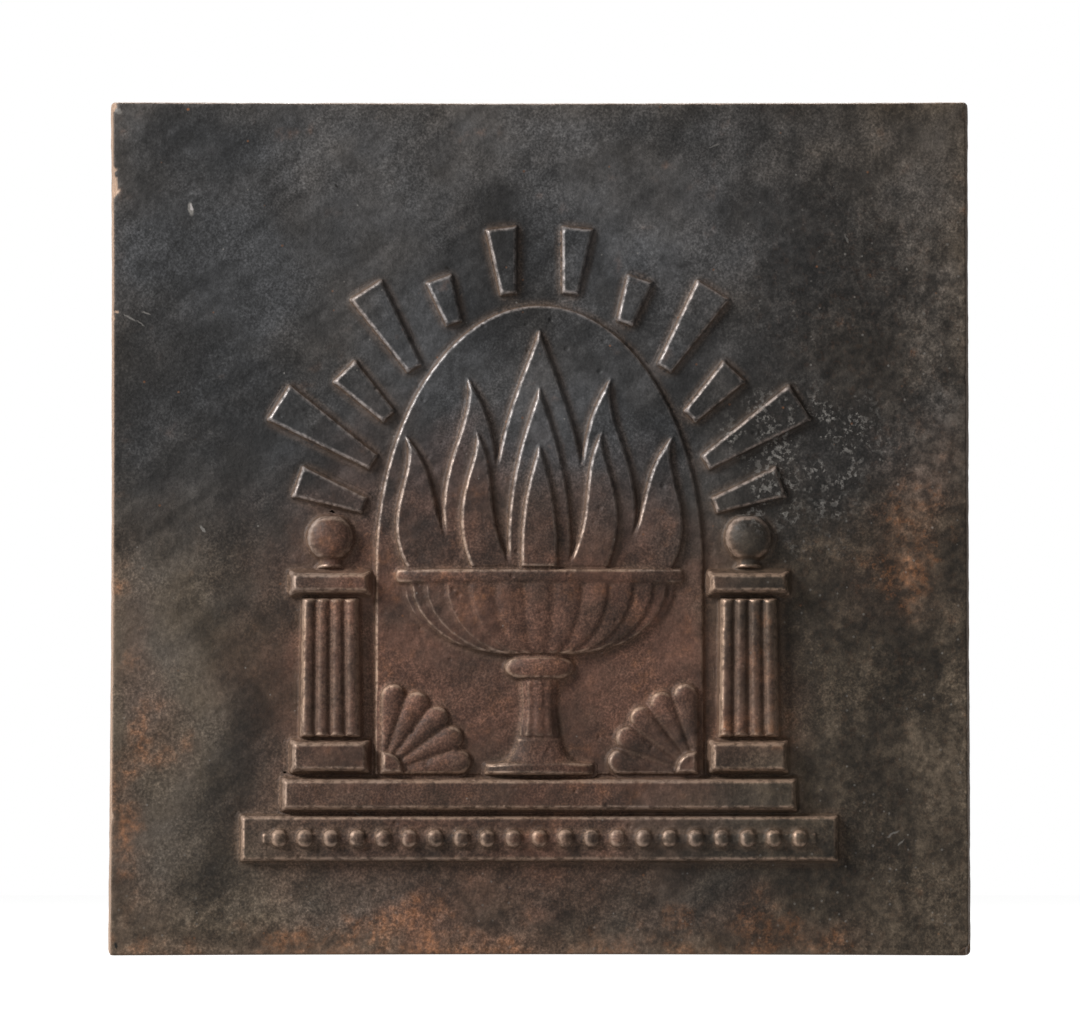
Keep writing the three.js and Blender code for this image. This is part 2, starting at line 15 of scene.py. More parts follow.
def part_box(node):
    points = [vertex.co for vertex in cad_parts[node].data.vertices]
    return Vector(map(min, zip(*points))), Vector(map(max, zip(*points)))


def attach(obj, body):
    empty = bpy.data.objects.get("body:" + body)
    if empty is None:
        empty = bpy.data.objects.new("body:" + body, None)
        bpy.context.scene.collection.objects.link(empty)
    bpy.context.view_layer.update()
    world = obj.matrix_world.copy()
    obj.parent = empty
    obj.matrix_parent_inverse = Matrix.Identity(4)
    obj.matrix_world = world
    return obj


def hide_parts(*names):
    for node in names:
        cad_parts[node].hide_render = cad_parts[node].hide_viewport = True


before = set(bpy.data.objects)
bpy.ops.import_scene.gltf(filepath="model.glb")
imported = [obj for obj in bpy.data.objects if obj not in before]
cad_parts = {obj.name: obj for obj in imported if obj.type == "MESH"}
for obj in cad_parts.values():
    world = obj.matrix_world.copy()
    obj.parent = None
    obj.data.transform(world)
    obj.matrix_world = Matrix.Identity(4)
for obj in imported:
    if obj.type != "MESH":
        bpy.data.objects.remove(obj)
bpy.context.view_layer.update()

MM = 0.001
SEED = 4

# ------------------------------------------------------------------------------------------------ Sizes

PLATE = "back_plate"
PLATE_LOW, PLATE_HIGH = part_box(PLATE)
FACE_Y = PLATE_LOW.y  # the front face of the plate, from which heights are counted
RELIEF = sorted(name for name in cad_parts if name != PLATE)

# The relief's field of heights
SAMPLE = 0.35 * MM
SAMPLES_PER_CELL = 2
CELL = SAMPLE * SAMPLES_PER_CELL
SOFTENING = 0.85 * MM  # how far sand rounds an arris and fills a corner
FIELD_MARGIN = 9 * MM
FILLET_CELLS = 5  # how far the fillet at the foot of a form may reach
FILLET_LEAST = 0.03 * MM  # where a fillet is thinner than this, it is left to the form beside it
OVERLAP_CELLS = 3  # how far a skin runs on under its neighbour
OVERLAP_SINK = 0.02 * MM  # how much deeper each cell of that lies
BEDDING = 0.6 * MM  # how deep a skin's back lies in what carries it
CREVICE_REACH = 3.2 * MM  # how far dust lies out from a corner
ARRIS_REACH = 1.0 * MM  # how far wear reaches from an arris

# The plate
PLATE_CELL = 2.1 * MM
PLATE_BACK_CELL = 7 * MM
PLATE_BACK_MARGIN = 4 * MM  # from the outline to the outermost loose points of the back
PLATE_ARRIS = 1.6 * MM
PLATE_BACK_ARRIS = 1.0 * MM
PLATE_CORNER = 3.5 * MM
PLATE_DRAFT = 2.6 * MM  # how much smaller the front is than the back, at the top and on each side
BOW_LEFT = 1.4 * MM  # how far the middle of that side is drawn in as the iron cools
BOW_RIGHT = 0.2 * MM
BOW_TOP = 0.85 * MM
BOW_FOOT = 0.8 * MM
ARRIS_STEPS = 4
WALL_STEPS = 8
KNOCK_EDGE = 6 * MM  # a knock that is this near to an edge draws the edge in too

# ------------------------------------------------------------------------------------------------ Noise


def cloud(x, z, pitch, seed):
    """Smooth noise from -1 to 1 at each x, z, with lumps of that pitch."""
    table = np.random.default_rng(SEED * 100 + seed).uniform(-1, 1, (256, 256))
    u, v = x / pitch + 64, z / pitch + 64
    i, j = np.floor(u).astype(int), np.floor(v).astype(int)
    s, t = u - i, v - j
    s, t = s * s * (3 - 2 * s), t * t * (3 - 2 * t)
    low = table[i % 256, j % 256] * (1 - s) + table[(i + 1) % 256, j % 256] * s
    high = table[i % 256, (j + 1) % 256] * (1 - s) + table[(i + 1) % 256, (j + 1) % 256] * s
    return low * (1 - t) + high * t


def pits(x, z, pitch, share, radius, depth, seed):
    """Round sand holes: at most one in each square of that pitch, in that share of the squares."""
    draw = np.random.default_rng(SEED * 100 + seed).uniform(0, 1, (4, 128, 128))
    deepest = np.zeros_like(x)
    for di in (-1, 0, 1):
        for dj in (-1, 0, 1):
            i = np.floor(x / pitch + 64).astype(int) + di
            j = np.floor(z / pitch + 64).astype(int) + dj
            across, up, luck, size = draw[:, i % 128, j % 128]
            reach = radius * (0.5 + size)
            away = np.hypot(x - (i - 64 + across) * pitch, z - (j - 64 + up) * pitch) / reach
            hole = np.clip(1 - away**2, 0, 1) ** 1.5 * depth * (0.5 + size)
            deepest = np.maximum(deepest, np.where(luck < share, hole, 0))
    return deepest


def rough_cloud(x, z, pitch, octaves, seed):
    """Noise from about -1 to 1 with finer lumps on its lumps."""
    layers = [0.6**k * cloud(x, z, pitch / 2**k, seed + k) for k in range(octaves)]
    return sum(layers) * 1.5 / sum(0.6**k for k in range(octaves))


def eased(value, low, high):
    """Takes a value from low..high to 0..1, smoothly, held at both ends."""
    share = np.clip((value - low) / (high - low), 0, 1)
    return share * share * (3 - 2 * share)


def brushwise(x, z):
    """Each x, z as its place along and across the strokes of the tool that smoothed the pattern."""
    return 0.8 * x + 0.6 * z, 0.8 * z - 0.6 * x


def cast_surface(x, z):
    """How far the cast face strays from the pattern's at x, z."""
    waves = 0.34 * cloud(x, z, 62 * MM, 1) + 0.24 * cloud(x, z, 19 * MM, 2)
    waves = waves + 0.16 * cloud(x, z, 7.5 * MM, 3)
    along, across = brushwise(x, z)
    strokes = cloud(along / 4, across, 7 * MM, 11) + 0.6 * cloud(along / 3, across, 4.5 * MM, 14)
    strokes = 0.17 * strokes * eased(cloud(x, z, 75 * MM, 12), -0.3, 0.5)
    small = 0.12 * cloud(x, z, 4.6 * MM, 15) * eased(cloud(x, z, 40 * MM, 16), -0.5, 0.5)
    return (waves + strokes + small) * MM - pits(x, z, 19 * MM, 0.35, 1.7 * MM, 0.6 * MM, 4)


def fine_surface(x, z):
    """The lumps that only a skin's close mesh can hold."""
    return (0.06 * cloud(x, z, 3.1 * MM, 5) + 0.04 * cloud(x, z, 1.7 * MM, 6)) * MM


# ------------------------------------------------------------------------------------------- Weathering

# Ovals on the plate: x and z of the middle and the reach across and up, in mm from its middle and foot
BROWNED = [(-38, 185, 180, 172)]
RUSTED = [
    (-290, 140, 26, 170),
    (-90, 2, 280, 34),
    (252, 300, 54, 88),
    (150, 10, 60, 26),
    (150, 180, 40, 60),
]
BURNT = [
    (205, 385, 65, 150),
    (182, 215, 60, 70),
    (165, 42, 60, 48),
    (-240, 355, 110, 120),
    (250, 215, 40, 60),
    (-234, 562, 66, 46),
    (-17, 460, 50, 85),
    (-212, 150, 30, 140),
]
PALE = [
    (-262, 150, 50, 190),
    (-83, 10, 260, 30),
    (197, 20, 52, 32),
    (276, 330, 26, 290),
    (272, 90, 34, 120),
]
CRUSTED = [(200, 376, 56, 42), (165, 350, 32, 36), (214, 328, 36, 36), (172, 302, 34, 34)]
OVAL_CORE = 0.35  # the share of an oval's reach within which it is at its strongest
OVAL_END = 1.25  # the share of its reach at which it has faded out
OVAL_STRAY = 35 * MM  # how far its edge strays
OVAL_STRAY_PITCH = 80 * MM

# Stretches over which a texture sets in, from none to all: x, or z where it says so
STREAKS_SET_IN = (100 * MM, 200 * MM)
CONTRAST_SETS_IN = (-100 * MM, 200 * MM)
CONTRAST_SETS_IN_Z = (100 * MM, 20 * MM)
SPOTS_SET_IN = (130 * MM, 200 * MM)
SPOTS_SET_IN_Z = (580 * MM, 470 * MM)
SPOTTY_FOOT_Z = (80 * MM, 20 * MM)
WARMTH_SETS_IN = (100 * MM, 270 * MM)
WARMTH_SETS_IN_Z = (360 * MM, 220 * MM)
SPOTS_STRAY = 30 * MM


def inside(ovals, x, z, seed, core=OVAL_CORE):
    """How strong the ovals are at each x, z, from 1 at their core to 0 past their soft ragged edge."""
    x = x + OVAL_STRAY * rough_cloud(x, z, OVAL_STRAY_PITCH, 4, seed)
    z = z + OVAL_STRAY * rough_cloud(x, z, OVAL_STRAY_PITCH, 4, seed + 5)
    away = []
    for oval in ovals:
        at_x, at_z, across, up = (number * MM for number in oval)
        away.append(np.hypot((x - at_x) / across, (z - at_z) / up))
    return eased(np.min(away, axis=0), OVAL_END, core)


def tones(x, z, on_front, broad, patchy, from_edge):
    """How light the iron is at each x, z: 0.5 where nothing touched it."""
    mottled = rough_cloud(x, z, 12 * MM, 3, 120)
    along, across = brushwise(x, z)
    streaky = eased(x, *STREAKS_SET_IN)
    brushed = cloud(along / 6, across, 6 * MM, 130) * (1 - streaky)
    streaked = cloud(x, z / 7, 8 * MM, 131) * streaky
    right = eased(x, *CONTRAST_SETS_IN)
    strong = np.maximum(right, eased(z, *CONTRAST_SETS_IN_Z))
    tone = 0.5 + (0.18 + 0.06 * strong) * broad + (0.13 + 0.07 * strong) * patchy
    tone = tone + (0.12 + 0.04 * strong) * mottled
    tone = tone + 0.12 * brushed + 0.15 * streaked - 0.09 * right
    tone = tone + (0.24 * inside(PALE, x, z, 60) - 0.30 * inside(BURNT, x, z, 70)) * on_front
    return tone + 0.15 * eased(from_edge, 8 * MM, 1 * MM) + 0.22 * eased(z, 9 * MM, 1 * MM)


def spots(x, z, broad):
    """How spotty the iron is at each x, z: at the right, where the fire burnt hottest, and at the foot."""
    strayed = x + SPOTS_STRAY * rough_cloud(x, z, 60 * MM, 3, 140)
    at_right = eased(strayed, *SPOTS_SET_IN) * eased(z, *SPOTS_SET_IN_Z)
    return np.maximum(at_right, 0.7 * eased(z + SPOTS_STRAY * broad, *SPOTTY_FOOT_Z))


def weathering(x, z, on_front):
    """How the fire and the years left the iron at each x, z, as shares from 0 to 1 for the material.

    Where on_front is 0, as on the plate's back, nothing is pale, burnt, crusted or spotty.
    """
    broad = rough_cloud(x, z, 95 * MM, 5, 40)
    patchy = rough_cloud(x, z, 26 * MM, 4, 46)
    from_edge = np.minimum.reduce([PLATE_HIGH.x - np.abs(x), PLATE_HIGH.z - z, z])
    border = eased(from_edge, 26 * MM, 0)
    browned = 0.9 * inside(BROWNED, x, z, 50, core=0.55)
    rusted = inside(RUSTED, x, z, 55)
    warm = 0.12 + 0.25 * rough_cloud(x, z, 70 * MM, 4, 80) + 0.2 * border
    warm = warm + 0.8 * eased(z, *WARMTH_SETS_IN_Z) + 0.5 * eased(x, *WARMTH_SETS_IN)
    rust = 0.7 * rough_cloud(x, z, 11 * MM, 4, 90) + 0.5 * patchy
    rust = rust + 0.5 * browned + 0.9 * rusted + 0.2 * border
    return {
        "browned": np.clip(browned * (1 + 0.3 * patchy + 0.3 * broad) + 0.25 * rusted, 0, 1),
        "tone": np.clip(tones(x, z, on_front, broad, patchy, from_edge), 0, 1),
        "warm": np.clip(warm, 0, 1),
        "rust": eased(rust, 0.5, 1.9),
        "spotty": spots(x, z, broad) * on_front,
        "grainy": eased(rough_cloud(x, z, 45 * MM, 3, 100), -0.7, 0.6),
        "crusty": inside(CRUSTED, x, z, 110) * on_front,
    }


# ------------------------------------------------------------------------------------ Field of heights


def box_of_relief():
    corners = [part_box(name) for name in RELIEF]
    low = np.min([[c[0].x, c[0].z] for c in corners], axis=0) - FIELD_MARGIN
    high = np.max([[c[1].x, c[1].z] for c in corners], axis=0) + FIELD_MARGIN
    return low, high


FIELD_LOW, FIELD_HIGH = box_of_relief()
CELLS_X, CELLS_Z = (np.ceil((FIELD_HIGH - FIELD_LOW) / CELL)).astype(int)


def sampled(node):
    """The node's height above the plate at each fine sample, and where in the field its window starts."""
    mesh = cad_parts[node].data
    mesh.calc_loop_triangles()
    points = np.array([v.co for v in mesh.vertices])
    heights = FACE_Y - points[:, 1]
    places = (points[:, [0, 2]] - FIELD_LOW) / SAMPLE - 0.5
    start = np.floor(places.min(0)).astype(int)
    window = np.full(np.ceil(places.max(0)).astype(int) - start + 1, -1.0)
    for triangle in mesh.loop_triangles:
        corners = list(triangle.vertices)
        (ax, az), (bx, bz), (cx, cz) = places[corners] - start
        area = (bx - ax) * (cz - az) - (cx - ax) * (bz - az)
        if abs(area) < 1e-9:
            continue
        i0, i1 = math.ceil(min(ax, bx, cx)), math.floor(max(ax, bx, cx))
        j0, j1 = math.ceil(min(az, bz, cz)), math.floor(max(az, bz, cz))
        if i1 < i0 or j1 < j0:
            continue
        i, j = np.mgrid[i0 : i1 + 1, j0 : j1 + 1]
        b = ((i - ax) * (cz - az) - (cx - ax) * (j - az)) / area
        c = ((bx - ax) * (j - az) - (i - ax) * (bz - az)) / area
        a = 1 - b - c
        within = (a >= -1e-9) & (b >= -1e-9) & (c >= -1e-9)
        height = a * heights[corners[0]] + b * heights[corners[1]] + c * heights[corners[2]]
        view = window[i0 : i1 + 1, j0 : j1 + 1]
        view[within] = np.maximum(view[within], height[within])
    return window, start


def blurred(field, sigma):
    """The field softened by a bell of that sigma, in samples."""
    reach = math.ceil(3 * sigma)
    weights = np.exp(-0.5 * (np.arange(-reach, reach + 1) / sigma) ** 2)
    weights /= weights.sum()
    for axis in (0, 1):
        padded = np.pad(field, [(reach, reach) if k == axis else (0, 0) for k in (0, 1)], mode="edge")
        length = field.shape[axis]
        parts = [padded.take(range(s, s + length), axis=axis) * w for s, w in enumerate(weights)]
        field = sum(parts)
    return field


def grown(mask):
    """The mask and every cell beside it."""
    out = mask.copy()
    out[1:] |= mask[:-1]
    out[:-1] |= mask[1:]
    out[:, 1:] |= mask[:, :-1]
    out[:, :-1] |= mask[:, 1:]
    return out


def per_cell(fine, take):
    """Joins the samples of each cell into one value."""
    shape = (CELLS_X, SAMPLES_PER_CELL, CELLS_Z, SAMPLES_PER_CELL)
    return take(take(fine.reshape(shape), axis=3), axis=1)


def survey():
    """The cast height of each cell, the form that owns it, and each form's own outline."""
    size = (CELLS_X * SAMPLES_PER_CELL, CELLS_Z * SAMPLES_PER_CELL)
    fine = np.zeros(size)
    on_top = np.full(size, -1)
    outlines = {}
    for number, node in enumerate(RELIEF):
        window, (i, j) = sampled(node)
        here = (slice(i, i + window.shape[0]), slice(j, j + window.shape[1]))
        higher = window > fine[here]
        fine[here][higher] = window[higher]
        on_top[here][higher] = number
        outline = np.zeros(size, bool)
        outline[here] = window >= 0
        outlines[node] = per_cell(outline, np.max)
    height = per_cell(blurred(fine, SOFTENING / SAMPLE), np.mean)
    owner = per_cell(on_top, np.max)
    for _ in range(FILLET_CELLS):
        for shift, axis in ((1, 0), (-1, 0), (1, 1), (-1, 1)):
            beside = np.roll(owner, shift, axis)
            owner = np.where((owner < 0) & (beside >= 0) & (height > FILLET_LEAST), beside, owner)
    return height, owner, outlines


X, Z = np.meshgrid(
    FIELD_LOW[0] + (np.arange(CELLS_X) + 0.5) * CELL,
    FIELD_LOW[1] + (np.arange(CELLS_Z) + 0.5) * CELL,
    indexing="ij",
)
softened, owner, outlines = survey()
crevice = blurred(softened, CREVICE_REACH / CELL) - softened  # above 0 in a corner
arris = softened - blurred(softened, ARRIS_REACH / CELL)  # above 0 on an arris
surface = softened + cast_surface(X, Z) + fine_surface(X, Z)

# ----------------------------------------------------------------------------------------------- Meshes


def filled_corners(quads):
    """Fills quads that meet another only at a corner, so that the skin's edge never touches itself."""
    for _ in range(4):
        a, b, c, d = quads[:-1, :-1], quads[1:, :-1], quads[:-1, 1:], quads[1:, 1:]
        cross = (a & d & ~b & ~c) | (b & c & ~a & ~d)
        if not cross.any():
            break
        for view in (a, b, c, d):
            view |= cross
    return quads


def to_object(name, points, faces, values):
    """A mesh object of those faces, with each of the values as an attribute of its points."""
    mesh = bpy.data.meshes.new(name)
    mesh.from_pydata(points.tolist(), [], faces)
    for label, numbers in values.items():
        attribute = mesh.attributes.new(label, "FLOAT", "POINT")
        attribute.data.foreach_set("value", np.asarray(numbers, np.float32))
    mesh.polygons.foreach_set("use_smooth", np.ones(len(mesh.polygons), bool))
    mesh.validate()
    piece = bpy.data.objects.new(name, mesh)
    bpy.context.scene.collection.objects.link(piece)
    return piece


def capped(border, points):
    """Triangles across the flat back, inside the border, which is a list of pairs of point numbers."""
    used = sorted({n for pair in border for n in pair})
    place = {n: k for k, n in enumerate(used)}
    flat = [Vector((points[n][0], points[n][2])) for n in used]
    edges = [(place[a], place[b]) for a, b in border]
    found = geometry.delaunay_2d_cdt(flat, edges, [], 1, 1e-7)
    origin = [ids[0] for ids in found[3]]
    return [[used[origin[k]] for k in face] for face in found[2]]


def skin(node):
    """The node's part of the casting's face, closed behind, as [name] of the node with _skin."""
    number = RELIEF.index(node)
    low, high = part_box(node)
    base = FACE_Y - high.y
    mask = owner == number
    heights = np.where(mask, surface, np.inf)
    ring = mask
    for step in range(1, OVERLAP_CELLS + 1):
        wider = grown(ring)
        heights = np.where(wider & ~ring, surface - OVERLAP_SINK * step, heights)
        ring = wider
    covered = outlines[node] & ~ring
    carried = [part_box(other)[1].y for other in RELIEF if other != node]
    seat = max((FACE_Y - y for y in carried if low.y - 0.01 * MM <= y < high.y - 0.01 * MM), default=base)
    heights = np.where(covered, seat - 0.1 * MM, heights)
    keep = ring | covered
    quads = filled_corners(keep[:-1, :-1] & keep[1:, :-1] & keep[:-1, 1:] & keep[1:, 1:])
    heights = np.where(np.isinf(heights), surface - OVERLAP_SINK * OVERLAP_CELLS, heights)
    heights = np.maximum(heights, base - 0.3 * MM)
    corner = np.zeros(keep.shape, bool)
    for view in (corner[:-1, :-1], corner[1:, :-1], corner[:-1, 1:], corner[1:, 1:]):
        view |= quads
    index = np.full(keep.shape, -1)
    index[corner] = np.arange(corner.sum())
    front = np.column_stack([X[corner], FACE_Y - heights[corner], Z[corner]])
    i, j = np.nonzero(quads)
    ring_of = np.column_stack([index[i, j], index[i + 1, j], index[i + 1, j + 1], index[i, j + 1]])
    sides = np.concatenate([ring_of[:, [k, (k + 1) % 4]] for k in range(4)])
    known = {(a, b) for a, b in sides.tolist()}
    border = [(a, b) for a, b in sides.tolist() if (b, a) not in known]
    rim = sorted({n for pair in border for n in pair})
    behind = {n: len(front) + k for k, n in enumerate(rim)}
    back = front[rim].copy()
    back[:, 1] = FACE_Y - (base - BEDDING)
    points = np.concatenate([front, back])
    faces = ring_of.tolist()
    faces += [[b, a, behind[a], behind[b]] for a, b in border]
    faces += [face[::-1] for face in capped([(behind[a], behind[b]) for a, b in border], points)]
    values = {
        label: np.concatenate([field[corner], field[corner][rim]]) / MM
        for label, field in (("crevice", crevice), ("arris", arris))
    }
    values |= weathering(points[:, 0], points[:, 2], 1)
    return to_object(f"{node}_skin", points, faces, values)


def field_at(field, x, z):
    """The field at each x, z, which lies between cells, and 0 outside it."""
    u = (x - FIELD_LOW[0]) / CELL - 0.5
    v = (z - FIELD_LOW[1]) / CELL - 0.5
    within = (u >= 0) & (v >= 0) & (u < CELLS_X - 1) & (v < CELLS_Z - 1)
    u, v = np.where(within, u, 0), np.where(within, v, 0)
    i, j = u.astype(int), v.astype(int)
    s, t = u - i, v - j
    low = field[i, j] * (1 - s) + field[i + 1, j] * s
    high = field[i, j + 1] * (1 - s) + field[i + 1, j + 1] * s
    return np.where(within, low * (1 - t) + high * t, 0)


# ------------------------------------------------------------------------------------------------ Plate

# Knocks on the plate's arris: x, z, reach across and up, and depth, in mm from the plate's middle and foot
KNOCKS = [
    (-298.6, 538.5, 5.0, 9.0, 3.2),
    (-297.4, 531.0, 5.0, 4.5, 2.6),
    (-298.0, 590.5, 5.0, 5.0, 2.2),
    (-298.0, 443.0, 3.5, 3.0, 1.4),
    (-298.5, 281.0, 3.0, 4.0, 1.2),
    (-297.5, 96.0, 3.0, 6.0, 1.2),
    (299.0, 1.5, 8.0, 6.0, 4.6),
    (298.5, 158.0, 4.0, 4.0, 1.6),
    (298.5, 402.0, 3.0, 5.0, 1.2),
    (298.5, 585.0, 4.0, 5.0, 1.5),
    (124.0, 594.5, 7.0, 3.5, 1.5),
    (-70.0, 595.0, 5.0, 3.0, 1.2),
    (-214.0, 595.0, 4.0, 3.0, 1.2),
]


def bowed(x, z, half, foot, top, corner):
    """Draws points that lie outside the rounded corners in to them, and bows the sides in."""
    middle, tall = (foot + top) / 2, (top - foot) / 2
    dx = np.abs(x) - (half - corner)
    dz = np.abs(z - middle) - (tall - corner)
    away = np.hypot(np.maximum(dx, 0), np.maximum(dz, 0))
    outside = (dx > 0) & (dz > 0) & (away > corner)
    pull = np.where(outside, corner / np.maximum(away, 1e-9), 1)
    x = np.where(outside, np.sign(x) * (half - corner + dx * pull), x)
    z = np.where(outside, middle + np.sign(z - middle) * (tall - corner + dz * pull), z)
    u, v = x / half, (z - middle) / tall
    bow_x = np.where(u < 0, BOW_LEFT, BOW_RIGHT) * (1 - v**2) * u
    bow_z = np.where(v < 0, BOW_FOOT, BOW_TOP) * (1 - u**2) * v
    return x - bow_x, z - bow_z


def levels_of_plate(thickness):
    """Each ring round the plate: how far it is drawn in, how far its foot is, and its depth."""
    levels = []
    for step in range(1, ARRIS_STEPS + 1):
        turn = math.pi / 2 * step / ARRIS_STEPS
        inset = PLATE_ARRIS * (1 - math.sin(turn))
        levels.append((PLATE_DRAFT + inset, inset, PLATE_ARRIS * (1 - math.cos(turn))))
    wall = thickness - PLATE_ARRIS - PLATE_BACK_ARRIS
    for step in range(1, WALL_STEPS + 1):
        share = step / WALL_STEPS
        levels.append((PLATE_DRAFT * (1 - share), 0, PLATE_ARRIS + wall * share))
    levels.append((PLATE_BACK_ARRIS * 0.3, PLATE_BACK_ARRIS * 0.3, thickness - PLATE_BACK_ARRIS * 0.3))
    levels.append((PLATE_BACK_ARRIS, PLATE_BACK_ARRIS, thickness))
    return levels


def around(grid):
    """The border of a grid of x, z, anticlockwise from its first corner."""
    return np.concatenate([grid[:-1, 0], grid[-1, :-1], grid[:0:-1, -1], grid[0, :0:-1]])


def sheet(inset, foot_inset, counts):
    """The plate's outline at one depth, drawn in by those, as a grid of counts points of x and z."""
    half = (PLATE_HIGH.x - PLATE_LOW.x) / 2 - inset
    foot, top = PLATE_LOW.z + foot_inset, PLATE_HIGH.z - inset
    x, z = np.meshgrid(np.linspace(-half, half, counts[0]), np.linspace(foot, top, counts[1]), indexing="ij")
    return bowed(x, z, half, foot, top, max(PLATE_CORNER - inset, 0.9 * MM))


def back_of_plate(ring, points, first):
    """Loose points on the back inside the ring, numbered from first, and triangles that join them to it."""
    low, high = PLATE_LOW, PLATE_HIGH
    xs = np.arange(low.x + PLATE_BACK_MARGIN, high.x - PLATE_BACK_MARGIN, PLATE_BACK_CELL)
    zs = np.arange(low.z + PLATE_BACK_MARGIN, high.z - PLATE_BACK_MARGIN, PLATE_BACK_CELL)
    x, z = (part.ravel() for part in np.meshgrid(xs, zs, indexing="ij"))
    flat = [Vector((points[n][0], points[n][2])) for n in ring] + [Vector(place) for place in zip(x, z)]
    edges = [((k - 1) % len(ring), k) for k in range(len(ring))]
    found = geometry.delaunay_2d_cdt(flat, edges, [], 1, 1e-7)
    origin = [ids[0] for ids in found[3]]
    number = [*ring, *range(first, first + len(x))]
    faces = [[int(number[origin[k]]) for k in face[::-1]] for face in found[2]]
    sunk = (0.5 + 0.25 * cloud(x, z, 40 * MM, 7) + 0.25 * cloud(x, z, 15 * MM, 8)) * MM
    return np.column_stack([x, high.y - sunk, z]), faces


def weathered(points):
    """Roughens the plate's face and its edges, and knocks its arris."""
    x, y, z = points.T
    low, high = PLATE_LOW, PLATE_HIGH
    on_face = np.clip(1 - (y - low.y) / (PLATE_ARRIS * 2), 0, 1)
    y = np.minimum(y - cast_surface(x, z) * on_face, high.y)
    for reach, along, edge in ((np.abs(x), z, high.x), (z, x, high.z)):
        near = np.clip(1 - (edge - reach) / (8 * MM), 0, 1)
        rough = 0.35 * np.abs(cloud(along, y, 34 * MM, 13)) + 0.35 * np.abs(cloud(along, y, 8 * MM, 10))
        drawn = near * rough * MM
        if edge == high.x:
            x = x - np.sign(x) * drawn
        else:
            z = z - drawn
    chipped = np.zeros(len(points))
    for knock in KNOCKS:
        at_x, at_z, across, up, depth = (number * MM for number in knock)
        ragged = 1 + 0.4 * cloud(x + y, z, 2.6 * MM, 9)
        away = np.hypot((x - at_x) / across, (z - at_z) / up) * ragged
        away = np.hypot(away, np.maximum(y - low.y - 2 * depth, 0) / (2 * depth))
        dent = depth * np.clip(1 - away**2, 0, 1)
        chipped = np.maximum(chipped, eased(dent, 0.3 * MM, 1.2 * MM))
        y = y + dent * 0.9
        if abs(at_x) > high.x - KNOCK_EDGE:
            x = x - np.sign(at_x) * dent * 0.3
        if at_z > high.z - KNOCK_EDGE:
            z = z - dent * 0.5
        if at_z < low.z + KNOCK_EDGE:
            z = z + dent * 0.6 * (z > PLATE_ARRIS / 2)
    rim = np.maximum(1 - on_face, chipped)
    return np.column_stack([x, y, np.maximum(z, low.z)]), on_face, rim


def plate():
    """The plate as one closed body: its front as a close grid, an arris, drafted walls, and a rough back."""
    span = PLATE_HIGH - PLATE_LOW
    counts = (round(span.x / PLATE_CELL), round(span.z / PLATE_CELL))
    x, z = sheet(PLATE_DRAFT + PLATE_ARRIS, PLATE_ARRIS, counts)
    index = np.arange(x.size).reshape(x.shape)
    points = [np.column_stack([x.ravel(), np.full(x.size, PLATE_LOW.y), z.ravel()])]
    near, far = slice(None, -1), slice(1, None)
    corners = [index[near, near], index[far, near], index[far, far], index[near, far]]
    faces = np.column_stack([corner.ravel() for corner in corners]).tolist()
    ring, count = around(index), x.size
    for inset, foot_inset, depth in levels_of_plate(span.y):
        x, z = (around(part) for part in sheet(inset, foot_inset, counts))
        points.append(np.column_stack([x, np.full(x.size, PLATE_LOW.y + depth), z]))
        after = np.arange(count, count + x.size)
        faces += np.column_stack([ring, np.roll(ring, 1), np.roll(after, 1), after]).tolist()
        ring, count = after, count + x.size
    back, back_faces = back_of_plate(ring, np.concatenate(points), count)
    points, on_face, rim = weathered(np.concatenate([*points, back]))
    x, _, z = points.T
    values = {"crevice": field_at(crevice, x, z) / MM * on_face, "rim": rim}
    values["arris"] = np.zeros(len(points))
    values |= weathering(x, z, on_face)
    return to_object("plate_skin", points, faces + back_faces, values)


# -------------------------------------------------------------------------------------------- Materials


def linear(red, green, blue):
    """A colour written in the 0 to 255 of a screen, as the shader wants it."""
    return tuple(((c / 255 + 0.055) / 1.055) ** 2.4 for c in (red, green, blue)) + (1,)


SOOT = linear(60, 60, 61)
SOOT_WARM = linear(67, 58, 48)
BROWN = linear(79, 56, 46)
RUST = linear(112, 74, 48)
OCHRE = linear(106, 86, 71)
CRUST = linear(124, 120, 115)
BLACK = linear(28, 26, 24)
BARE = linear(186, 157, 135)
BARE_COOL = linear(164, 158, 156)

GRAIN = (0.0016, 2, 0.6, 5)  # the noise of the sand's grain: size in metres, detail, roughness and offset
THROUGH = 10  # the reach of a mark through the plate, in metres, so that depth makes no difference


